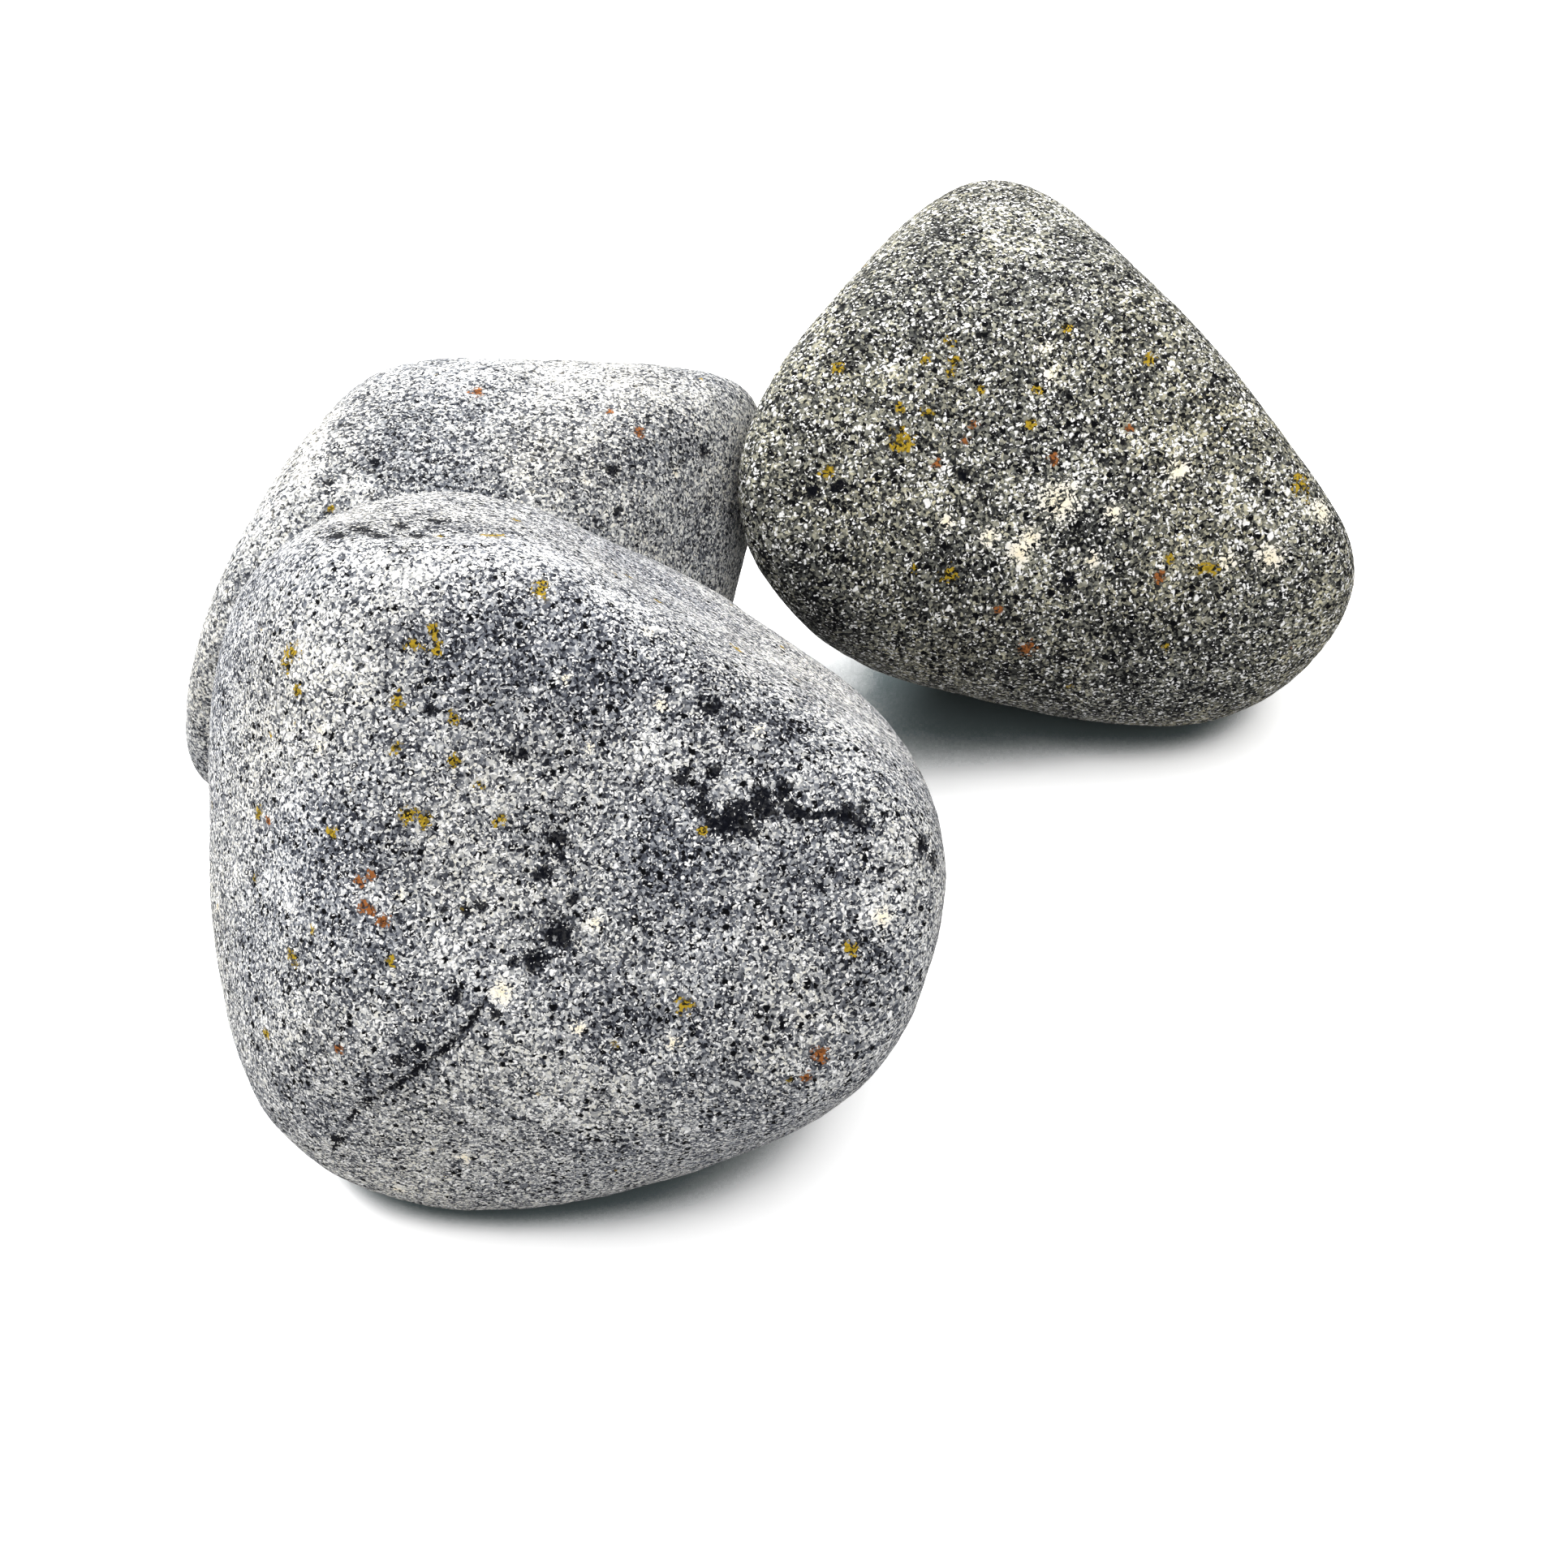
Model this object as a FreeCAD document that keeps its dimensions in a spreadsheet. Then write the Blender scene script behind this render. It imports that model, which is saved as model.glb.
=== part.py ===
import FreeCAD, Part
import math
import os

# A set of three tumbled basalt massage stones at rest on a table: one lying stone and two that lean on it.
# Each stone is one solid pebble, first broken along flat facets and then tumbled until its edges are round.
# Its own frame starts at its heart, the point that every facet is measured from: +X to the stone's right
# and +Y to its top, both in its broad plane, and +Z out of its crown, the broad face that a palm lies on.
# On the table the broad plane leans back by one angle, and the crown faces forwards and up. Each stone
# stands on a flat seat that wear has left under it. Lengths are in millimetres and angles in degrees.

doc = FreeCAD.newDocument("basalt_massage_stones")
sizes = doc.addObject("Spreadsheet::Sheet", "sizes")

# Facets of each stone: turn is the angle round the broad plane, from the stone's right end towards its top,
# tilt is the angle out of that plane towards the crown, and reach is the distance from the heart.
FACETS = {
    "back_stone": {
        "right_end": (-15, 0, 24.5),
        "right_brow": (-5, 35, 24),
        "right_foot": (-45, 20, 27),
        "right_shoulder": (42, 0, 54),
        "top": (87, 0, 23.5),
        "top_left": (143, 0, 24),
        "left_shoulder": (161, 0, 25),
        "left_end": (168, 0, 43.5),
        "left_foot": (217, 0, 60),
        "bottom_left": (250, 0, 33),
        "bottom_right": (290, 0, 33),
        "crown": (0, 90, 24),
        "crown_top": (90, 45, 22.5),
        "crown_foot": (270, 45, 21),
        "heel": (0, -90, 24),
        "heel_top": (90, -30, 24),
        "heel_right": (15, -48, 28),
        "heel_left": (165, -45, 32),
        "heel_corner": (212, -48, 31),
        "heel_foot": (318, -42, 27),
        "seat": (270, -40, 20),
    },
    "leaning_stone": {
        "right_end": (-9, 0, 33),
        "right_slope": (38, 0, 20.5),
        "top": (86, 0, 36),
        "left_slope": (142, 0, 29.5),
        "left_end": (177, 18, 49),
        "left_heel": (178, -30, 22),
        "left_corner": (205, 0, 36),
        "left_foot": (235, 5, 29.5),
        "bottom": (259, 0, 23.5),
        "right_foot": (284, 0, 35.5),
        "right_corner": (310, 0, 33),
        "crown": (0, 90, 21),
        "crown_top": (90, 45, 26),
        "crown_foot": (270, 45, 24),
        "heel": (0, -90, 20),
        "heel_top": (95, -42, 31),
        "heel_right": (20, -48, 24),
        "heel_corner": (318, -40, 29),
        "heel_foot": (232, -42, 26),
        "seat": (270, -40, 23),
    },
    "front_stone": {
        "right_end": (0, 0, 38.5),
        "right_shoulder": (11, 0, 36.5),
        "right_slope": (59, 10, 25.5),
        "top": (93, 16, 35.5),
        "left_shoulder": (129, 0, 39.5),
        "left_end": (180, 15, 46.5),
        "left_foot": (224, 0, 37),
        "bottom": (273, 0, 54),
        "right_foot": (293, 0, 30.5),
        "right_corner": (335, 0, 34.5),
        "crown": (0, 90, 23),
        "crown_left": (183, 35, 29),
        "crown_foot": (265, 38, 28),
        "heel": (0, -90, 24),
        "heel_top": (97, -40, 34.5),
        "heel_left": (180, -20, 32),
        "heel_right": (25, -42, 35),
        "heel_shoulder": (140, -42, 35),
        "heel_corner": (318, -42, 31),
        "heel_foot": (222, -42, 33),
        "seat": (270, -40, 27.5),
    },
}

# How hard each stone's edges still are, a higher number being a harder edge, how deep its seat is worn,
# where its heart stands over the table, and the heading that it leans along, from +X towards +Y.
# The back stone lies still, so it has no heading.
WEAR = {"back_stone": 8, "leaning_stone": 9, "front_stone": 9}
SEAT_WORN = {"back_stone": 1.2, "leaning_stone": 0.8, "front_stone": 1.1}
HEART = {"back_stone": (-29, 23.5), "leaning_stone": (27, 35.5), "front_stone": (-19, -27)}
HEADING = {"leaning_stone": 180, "front_stone": 90}

# One thumb-wide hollow under the front stone's top edge: turn, tilt, depth and spread, an angle at the heart.
HOLLOWS = {"front_stone": (112, 14, 1.4, 10)}

COMMON = {
    "lean_angle": 50,
    "touch_gap": 0.3,
    "start_clear": 25,
    "block_side": 160,
    "block_height": 40,
    "net_around": 64,
    "net_across": 32,
}
SETTLE_STEPS = 60
SETTLE_CLOSE_ENOUGH = 0.005


def put(alias, value):
    """Write one named size into the sheet's next free row."""
    put.row += 1
    sizes.set("A%d" % put.row, alias)
    sizes.set("B%d" % put.row, repr(value))
    sizes.setAlias("B%d" % put.row, alias)


def size(alias):
    """Read one named size back out of the sheet."""
    return float(sizes.get(alias))


def direction(turn, tilt):
    """Unit vector in a stone's own frame from a turn and a tilt."""
    turn = math.radians(turn)
    tilt = math.radians(tilt)
    return FreeCAD.Vector(
        math.cos(turn) * math.cos(tilt), math.sin(turn) * math.cos(tilt), math.sin(tilt)
    )


def heart_to_skin(ray, planes, wear, hollow):
    """Distance from the heart to the worn skin along a unit ray.

    Along the ray, each plane alone would stop the skin at reach / cosine. The smooth least of those
    distances rounds every edge, and the exponent, wear, says how sharply.
    """
    total = 0.0
    for normal, reach in planes:
        cosine = ray.dot(normal)
        if cosine > 0:
            total += (cosine / reach) ** wear
    distance = total ** (-1 / wear)
    if hollow:
        towards, depth, spread = hollow
        off_centre = ray.getAngle(towards) / spread
        distance -= depth * math.exp(-off_centre ** 2)
    return distance


def skin_net(stone):
    """Points of the worn skin: rings around the +Z axis, from the crown's middle to the heel's."""
    planes = []
    for facet in FACETS[stone]:
        key = "%s_%s" % (stone, facet)
        planes.append((direction(size(key + "_turn"), size(key + "_tilt")), size(key + "_reach")))
    hollow = None
    if stone in HOLLOWS:
        key = stone + "_hollow"
        towards = direction(size(key + "_turn"), size(key + "_tilt"))
        hollow = (towards, size(key + "_depth"), math.radians(size(key + "_spread")))
    around = int(size("net_around"))
    across = int(size("net_across"))
    net = []
    for i in range(around):
        meridian = []
        for j in range(across + 1):
            ray = direction(360.0 * i / around, 90 - 180.0 * j / across)
            meridian.append(ray * heart_to_skin(ray, planes, size(stone + "_wear"), hollow))
        net.append(meridian)
    return net


def skin_solid(net):
    """One closed cubic surface on the net, joined to itself around and closed at both poles."""
    around = len(net)
    across = len(net[0])
    surface = Part.BSplineSurface()
    surface.buildFromPolesMultsKnots(
        net,
        [1] * (around + 1),
        [4] + [1] * (across - 4) + [4],
        list(range(around + 1)),
        list(range(across - 2)),
        True,
        False,
        3,
        3,
    )
    return Part.Solid(Part.Shell([surface.toShape()]))


def lowest_reach(net):
    """How far the skin reaches below the heart once the stone leans."""
    down = FreeCAD.Vector(0, -math.sin(LEAN), -math.cos(LEAN))
    return max(down.dot(point) for meridian in net for point in meridian)


def seat_block(stone):
    """A block under the stone's seat, level with the table once the stone leans."""
    block = doc.addObject("Part::Box", stone + "_seat_block")
    block.setExpression("Length", "sizes.block_side")
    block.setExpression("Width", "sizes.block_side")
    block.setExpression("Height", "sizes.block_height")
    block.Placement = FreeCAD.Placement(FreeCAD.Vector(), FreeCAD.Rotation(FreeCAD.Vector(1, 0, 0), -1))
    names = {
        "half": "sizes.block_side / 2",
        "depth": "(sizes.%s_heart_height + sizes.block_height)" % stone,
        "lean": "sizes.lean_angle * 1 deg",
    }
    block.setExpression("Placement.Base.x", "-{half}".format(**names))
    block.setExpression("Placement.Base.y", "-{half} * cos({lean}) - {depth} * sin({lean})".format(**names))
    block.setExpression("Placement.Base.z", "{half} * sin({lean}) - {depth} * cos({lean})".format(**names))
    block.setExpression("Placement.Rotation.Angle", "-{lean}".format(**names))
    return block


def build_stone(stone):
    """The worn pebble less the block under its seat, placed by the sheet."""
    net = skin_net(stone)
    put(stone + "_heart_height", lowest_reach(net) - size(stone + "_seat_worn"))
    pebble = doc.addObject("Part::Feature", stone + "_pebble")
    pebble.Shape = skin_solid(net)
    pebble.Placement = FreeCAD.Placement()
    piece = doc.addObject("Part::Cut", stone)
    piece.Label = stone
    piece.Base = pebble
    piece.Tool = seat_block(stone)
    piece.Placement = FreeCAD.Placement(FreeCAD.Vector(), FreeCAD.Rotation(FreeCAD.Vector(1, 0, 0), 1))
    values = {"stone": "sizes." + stone}
    place_x = "{stone}_heart_x + {stone}_settled * cos({stone}_heading * 1 deg) + sizes.set_shift_x"
    place_y = "{stone}_heart_y + {stone}_settled * sin({stone}_heading * 1 deg) + sizes.set_shift_y"
    piece.setExpression("Placement.Base.x", place_x.format(**values))
    piece.setExpression("Placement.Base.y", place_y.format(**values))
    piece.setExpression("Placement.Base.z", "{stone}_heart_height".format(**values))
    piece.setExpression("Placement.Rotation.Angle", "sizes.lean_angle * 1 deg")
    return piece


def settle(stone, piece, still):
    """Creep the stone along its heading, by its gap to the still stone each time, until they all but touch.

    A step no longer than the gap can't run into the still stone.
    """
    heading = direction(size(stone + "_heading"), 0)
    moved = -size("start_clear")
    mover = piece.Shape.copy()
    mover.translate(heading * moved)
    for step in range(SETTLE_STEPS):
        gap = mover.distToShape(still.Shape)[0] - size("touch_gap")
        if gap < SETTLE_CLOSE_ENOUGH:
            break
        mover.translate(heading * gap)
        moved += gap
    print("%s settled by %.2f mm, gap %.3f mm, %d steps" % (stone, moved, gap + size("touch_gap"), step))
    sizes.set(stone + "_settled", repr(moved))


put.row = 0
for name, value in COMMON.items():
    put(name, value)
put("set_shift_x", 0)
put("set_shift_y", 0)
for stone, facets in FACETS.items():
    put(stone + "_wear", WEAR[stone])
    put(stone + "_seat_worn", SEAT_WORN[stone])
    put(stone + "_heart_x", HEART[stone][0])
    put(stone + "_heart_y", HEART[stone][1])
    put(stone + "_heading", HEADING.get(stone, 0))
    put(stone + "_settled", 0)
    for facet, (turn, tilt, reach) in facets.items():
        key = "%s_%s" % (stone, facet)
        put(key + "_turn", turn)
        put(key + "_tilt", tilt)
        put(key + "_reach", reach)
for stone, (turn, tilt, depth, spread) in HOLLOWS.items():
    put(stone + "_hollow_turn", turn)
    put(stone + "_hollow_tilt", tilt)
    put(stone + "_hollow_depth", depth)
    put(stone + "_hollow_spread", spread)
doc.recompute()

LEAN = math.radians(size("lean_angle"))
pieces = {}
for stone in FACETS:
    pieces[stone] = build_stone(stone)
doc.recompute()

for stone in HEADING:
    settle(stone, pieces[stone], pieces["back_stone"])
doc.recompute()

# The set's origin is under the middle of its bounding box, on the table.
box = Part.makeCompound([piece.Shape for piece in pieces.values()]).optimalBoundingBox(False, False)
sizes.set("set_shift_x", repr(-(box.XMin + box.XMax) / 2))
sizes.set("set_shift_y", repr(-(box.YMin + box.YMax) / 2))
doc.recompute()

for item in doc.Objects:
    if "Invalid" in item.State or "Error" in item.State:
        raise RuntimeError("%s did not build: %s" % (item.Label, item.State))
os.makedirs("parts", exist_ok=True)
for stone, piece in pieces.items():
    if piece.Shape.isNull() or not piece.Shape.isValid() or len(piece.Shape.Solids) != 1:
        raise RuntimeError("%s has no valid single solid" % stone)
    shape = piece.Shape.Solids[0]
    box = shape.optimalBoundingBox(False, False)
    seat = min(shape.Faces, key=lambda face: face.CenterOfMass.z)
    print("%s %.1f x %.1f mm, %.1f mm high" % (stone, box.XLength, box.YLength, box.ZMax))
    print("   heart at %s" % piece.Placement.Base)
    print("   %.1f cm3 about %s" % (shape.Volume / 1000, shape.CenterOfMass))
    print("   seat %.0f mm2 about %s" % (seat.Area, seat.CenterOfMass))
    shape.exportStep("parts/%s.step" % stone)
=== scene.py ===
import math

import bmesh
import bpy
import numpy as np
from mathutils import Euler, Matrix, Vector, noise
from mathutils.bvhtree import BVHTree


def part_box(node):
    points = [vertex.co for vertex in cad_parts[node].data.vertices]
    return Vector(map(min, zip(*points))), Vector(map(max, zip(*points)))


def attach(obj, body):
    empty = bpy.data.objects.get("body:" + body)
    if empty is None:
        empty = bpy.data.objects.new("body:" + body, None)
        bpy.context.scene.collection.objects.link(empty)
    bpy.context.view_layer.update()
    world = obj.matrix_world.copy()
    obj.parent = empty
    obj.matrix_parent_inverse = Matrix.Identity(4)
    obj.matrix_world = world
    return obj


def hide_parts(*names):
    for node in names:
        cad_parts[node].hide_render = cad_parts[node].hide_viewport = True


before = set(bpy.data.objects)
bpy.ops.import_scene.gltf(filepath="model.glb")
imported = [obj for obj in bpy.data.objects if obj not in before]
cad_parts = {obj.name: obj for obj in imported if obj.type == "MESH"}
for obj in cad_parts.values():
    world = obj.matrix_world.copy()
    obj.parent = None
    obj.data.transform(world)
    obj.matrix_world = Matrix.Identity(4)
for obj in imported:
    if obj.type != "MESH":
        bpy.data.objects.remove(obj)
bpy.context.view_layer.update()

# ------------------------------------------------------------------------------------------------
# Back stone. A river pebble of dense dark grey basalt that lies behind the other two. Running water
# and gravel wore it round, so it is one solid piece with a matt skin and nothing fixed to it.
# ------------------------------------------------------------------------------------------------

MM = 0.001
BROAD_FACE_TILT = math.radians(50)  # how far each pebble's broad face is tipped up from lying flat


def linear(hex_colour):
    """An sRGB hex colour as the linear RGBA that a shader takes."""
    channels = [int(hex_colour[i : i + 2], 16) / 255 for i in (1, 3, 5)]
    return [c / 12.92 if c <= 0.04045 else ((c + 0.055) / 1.055) ** 2.4 for c in channels] + [1.0]


def add(tree, kind, settings=(), feeds=()):
    """One more node in a material: settings are its own or its sockets', and feeds are its links."""
    node = tree.nodes.new(kind)
    for key, value in dict(settings).items():
        if key == "stops":
            for place, colour in value[1:-1]:
                node.color_ramp.elements.new(place)
            for stop, (place, colour) in zip(node.color_ramp.elements, value):
                stop.position = place
                stop.color = linear(colour)
        elif isinstance(key, str) and hasattr(node, key):
            setattr(node, key, value)
        else:
            node.inputs[key].default_value = value
    for socket, source in dict(feeds).items():
        tree.links.new(source, node.inputs[socket])
    return node


def pebble_frame(node):
    """A pebble's own axes: X along its length, Y up its broad face, Z straight out of that face."""
    low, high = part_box(node)
    return Matrix.Translation((low + high) / 2) @ Matrix.Rotation(BROAD_FACE_TILT, 4, "X")


# What tumbling leaves on a pebble, widest first: swells, dints and a fine tooth. Each has its width,
# its height and how far it is worn in, the first two in mm.
WEAR_WAVES = (
    (13.0, 0.30, 0.45),
    (4.6, 0.13, 0.3),
    (1.1, 0.045, 0.0),
)
PIT_SPACING = 5.5
PIT_DEPTH = 0.22
PIT_RADIUS = 0.35
PIT_RADIUS_SPREAD = 0.5


def wear(spot, bed):
    """How far tumbling left the skin off the plain shape at a spot, in mm."""
    here = spot + bed
    lift = 0.0
    for width, height, worn_in in WEAR_WAVES:
        lift += height * (noise.noise(here / width) - worn_in)
    away, homes = noise.voronoi(here / PIT_SPACING)
    pit_radius = PIT_RADIUS + PIT_RADIUS_SPREAD * abs(noise.noise(homes[0] * 3.7))
    return lift - PIT_DEPTH * max(0.0, 1.0 - (away[0] * PIT_SPACING / pit_radius) ** 2)


SKIN_CUTS = 127  # leaves squares about half a mm wide
SEAT_FADE = 2.5 * MM  # wear fades out this near the table, so that the seat stays flat


def tumbled_skin(name, node, bed, dips=()):
    """A closed skin of even squares laid on the plain pebble and worn. Each dip pressed into it has
    its heart, its reach along and across, the way it runs and its depth, in mm."""
    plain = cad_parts[node].data
    corners = [vertex.co for vertex in plain.vertices]
    shell = BVHTree.FromPolygons(corners, [tuple(face.vertices) for face in plain.polygons])
    place = pebble_frame(node)
    turn = place.to_3x3()
    skin = bmesh.new()
    bmesh.ops.create_cube(skin, size=2)
    bmesh.ops.subdivide_edges(skin, edges=skin.edges[:], cuts=SKIN_CUTS, use_grid_fill=True)
    for vertex in skin.verts:
        ray = Vector([math.tan(c * math.pi / 4) for c in vertex.co]).normalized()
        hit, face_normal, _, _ = shell.ray_cast(place.translation, turn @ ray)
        spot = place.inverted() @ hit / MM
        lift = wear(spot, bed)
        for heart, reach, along, depth in dips:
            away = spot - heart
            run = away.dot(along)
            across = (away - along * run).length
            lift -= depth * math.exp(-((run / reach[0]) ** 2) - (across / reach[1]) ** 2)
        lift *= min(1.0, hit.z / SEAT_FADE)
        skin_point = hit + face_normal * lift * MM
        skin_point.z = max(skin_point.z, 0.0)
        vertex.co = skin_point - place.translation
    mesh = bpy.data.meshes.new(name)
    skin.to_mesh(mesh)
    skin.free()
    mesh.shade_smooth()
    stone = bpy.data.objects.new(name, mesh)
    bpy.context.scene.collection.objects.link(stone)
    stone.location = place.translation
    return stone


def mineral_spots(stone, mineral, spots):
    """Marks where a mineral, painted shade or painted highlight shows on the broad face: 1 at a
    spot's heart, 0.5 at its rim, 0 outside.
    A spot is its place along and up the face and its radius, all in mm."""
    count = len(stone.data.vertices)
    points = np.empty(count * 3)
    stone.data.vertices.foreach_get("co", points)
    points = points.reshape(count, 3) @ np.array(Matrix.Rotation(BROAD_FACE_TILT, 3, "X")) / MM
    showing = np.zeros(count)
    for along, up, radius in spots:
        behind = points[:, 2] < 0
        off_face = np.where(behind, np.inf, np.hypot(points[:, 0] - along, points[:, 1] - up))
        heart = points[off_face.argmin()]
        away = np.linalg.norm(points - heart, axis=1)
        showing = np.maximum(showing, 1 - away / (2 * radius))
    layer = stone.data.attributes.new(mineral, "FLOAT", "POINT")
    layer.data.foreach_set("value", showing)


# Fine-grained basalt, tumbled in water and left unpolished: a dry, matt, salt-and-pepper grey. Pale
# feldspar laths and black augite give the speckle, and olivine shows as odd gold grains. The finest
# grains and laths are 0.1 mm wide in the rock, and are drawn at about 0.25 mm so that they show.
# Widths are in mm.
GRAIN_WIDTH = 0.27
GRAIN_PUSH = 0.5  # how far a grain's outline is pushed about
AUGITE_WIDTH = 0.85
RIM_WIDTH = 0.8
DRIFT_WIDTH = 3.0
CLOUD_WIDTH = 20.0
CRACK_WANDER = 1.4
SCATTER_WANDER = 0.9
FINE_LATH = (0.80, 0.28, 0.32)
STOUT_LATH = (1.50, 0.75, 0.85)
CRISP = 9.0  # how sharply a grain's edge ends
FULL_COVER = 0.95  # the most that a mineral hides of the one under it
# How much the drifts and clouds add to a grain's own grey, and what brings the sum back to mid grey.
DRIFT_SHARE = 0.85
CLOUD_SHARE = 0.4
MID_GREY = 0.62
# Each set of laths: its size in mm, the way it is turned, how much its laths differ and how rare
# they are.
LATH_SETS = (
    (FINE_LATH, (0.2, 0.3, 0.4), 1.00, -0.47),
    (FINE_LATH, (1.1, -0.5, 1.7), 1.00, -0.47),
    (FINE_LATH, (-0.7, 0.9, 2.7), 1.00, -0.47),
    (STOUT_LATH, (0.5, -0.8, 1.1), 0.90, -0.50),
)
# The minerals that are marked on the broad face.
MARKED = (
    "pale_cluster",
    "dark_drift",
    "cream_feldspar",
    "black_augite",
    "gold_olivine",
    "iron_rust",
)
# A mark and its ragged rim are added up. Black, and the dark rim of a gold or rusty spot, begin where
# the sum passes SPOT_EDGE, gold and rust where it passes SPOT_HEART, and the crack at CRACK_END.
RAGGEDNESS = 1.2
RIM_DICE = 0.36  # how much of the raggedness goes from grain to grain
SPOT_EDGE = 1.05
SPOT_HEART = 1.183
CRACK_END = 0.95


def tumbled_basalt(name, bed, tone, cool, warm, coarse, bite=1.0, cracked=False):
    """tone makes the stone darker or lighter, cool and warm tint its drifts, coarse sizes its grains,
    and bite is how strongly the white and black grains stand out."""
    material = bpy.data.materials.new(name)
    material.use_nodes = True
    tree = material.node_tree
    tree.nodes.clear()
    laid_level = add(tree, "ShaderNodeTexCoord").outputs["Object"]
    tipped = add(
        tree,
        "ShaderNodeMapping",
        {"vector_type": "TEXTURE", "Rotation": (BROAD_FACE_TILT, 0, 0), "Scale": (MM, MM, MM)},
        {"Vector": laid_level},
    ).outputs[0]
    in_mm = add(tree, "ShaderNodeVectorMath", {"operation": "ADD", 1: tuple(bed)}, {0: tipped}).outputs[0]

    marks = {}
    for mineral in MARKED:
        marks[mineral] = add(tree, "ShaderNodeAttribute", {"attribute_name": mineral}).outputs["Fac"]

    # Grains lock into each other, so a noise of 2.2 waves to the mm pushes their outlines about.
    push = add(
        tree, "ShaderNodeTexNoise", {"Scale": 2.2, "Detail": 1.0}, {"Vector": in_mm}
    ).outputs["Color"]
    grown = add(
        tree,
        "ShaderNodeVectorMath",
        {"operation": "MULTIPLY_ADD", 1: (GRAIN_PUSH,) * 3},
        {0: push, 2: in_mm},
    ).outputs[0]

    # Groundmass: grains of every grey, gathered into lighter and darker drifts and wide clouds. Each
    # grain has its own three dice: its grey, its lean to blue or straw, and its facets.
    grain = add(tree, "ShaderNodeTexVoronoi", {"Scale": 1 / (GRAIN_WIDTH * coarse)}, {"Vector": grown})
    grain_dice = add(tree, "ShaderNodeSeparateColor", {}, {0: grain.outputs["Color"]})
    grey_dice, lean_dice, facet_dice = grain_dice.outputs[:3]
    drift = add(
        tree,
        "ShaderNodeTexNoise",
        {"Scale": 1 / DRIFT_WIDTH, "Detail": 3.0, "Roughness": 0.65},
        {"Vector": in_mm},
    ).outputs["Fac"]
    cloud = add(
        tree, "ShaderNodeTexNoise", {"Scale": 1 / CLOUD_WIDTH, "Detail": 1.0}, {"Vector": in_mm}
    ).outputs["Fac"]
    drifted = add(
        tree, "ShaderNodeMath", {"operation": "MULTIPLY_ADD", 1: DRIFT_SHARE}, {0: drift, 2: grey_dice}
    ).outputs[0]
    clouded = add(
        tree, "ShaderNodeMath", {"operation": "MULTIPLY_ADD", 1: CLOUD_SHARE}, {0: cloud, 2: drifted}
    ).outputs[0]
    level = add(
        tree, "ShaderNodeMath", {"operation": "ADD", 1: tone - MID_GREY}, {0: clouded}
    ).outputs[0]
    # The marked dark drifts and pale clusters shift the grey. Some of them are painted light: painted
    # shade inside the front stone's crest hollow, and a painted highlight along its lip and on the leaning
    # stone's right flank.
    for mineral, shade in (("dark_drift", -0.18), ("pale_cluster", 0.16)):
        level = add(
            tree, "ShaderNodeMath", {"operation": "MULTIPLY_ADD", 1: shade}, {0: marks[mineral], 2: level}
        ).outputs[0]
    greys = add(
        tree,
        "ShaderNodeValToRGB",
        {
            "stops": [
                (0.0, "#15161b"),
                (0.25, "#404249"),
                (0.5, "#74767b"),
                (0.75, "#a9a9a9"),
                (1.0, "#e4e2dc"),
            ]
        },
        {"Fac": level},
    ).outputs["Color"]

    # Each grain leans a little to blue or to straw, and the clouds do so over centimetres.
    cloud_lean = add(
        tree, "ShaderNodeMath", {"operation": "MULTIPLY_ADD", 1: 1.6, 2: -0.6}, {0: cloud}
    ).outputs[0]
    lean = add(
        tree, "ShaderNodeMath", {"operation": "MULTIPLY_ADD", 1: 0.6}, {0: lean_dice, 2: cloud_lean}
    ).outputs[0]
    tint = add(
        tree, "ShaderNodeMix", {"data_type": "RGBA", 6: linear(cool), 7: linear(warm)}, {0: lean}
    ).outputs[2]
    groundmass = add(
        tree, "ShaderNodeMix", {"data_type": "RGBA", "blend_type": "MULTIPLY", 0: 1.0}, {6: greys, 7: tint}
    ).outputs[2]

    # Streaks where augite has gathered are blue-black. Their rims break up from grain to grain, so
    # the rim's noise is pushed a little either way by each grain's dice.
    rough = add(
        tree, "ShaderNodeTexNoise", {"Scale": 1 / RIM_WIDTH, "Detail": 3.0}, {"Vector": in_mm}
    ).outputs["Fac"]
    pushed = add(
        tree, "ShaderNodeMath", {"operation": "MULTIPLY_ADD", 1: RIM_DICE}, {0: facet_dice, 2: rough}
    ).outputs[0]
    ragged = add(
        tree, "ShaderNodeMath", {"operation": "SUBTRACT", 1: RIM_DICE / 2}, {0: pushed}
    ).outputs[0]
    smudge_rim = add(
        tree,
        "ShaderNodeMath",
        {"operation": "MULTIPLY_ADD", 1: RAGGEDNESS},
        {0: ragged, 2: marks["black_augite"]},
    ).outputs[0]
    smudge = add(
        tree,
        "ShaderNodeMath",
        {"operation": "MULTIPLY_ADD", 1: 5.0, 2: -5.0 * SPOT_EDGE, "use_clamp": True},
        {0: smudge_rim},
    ).outputs[0]
    smudge_cover = add(
        tree, "ShaderNodeMath", {"operation": "MULTIPLY", 1: FULL_COVER}, {0: smudge}
    ).outputs[0]
    stone_colour = add(
        tree,
        "ShaderNodeMix",
        {"data_type": "RGBA", 7: linear("#04060f")},
        {0: smudge_cover, 6: groundmass},
    ).outputs[2]

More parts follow.
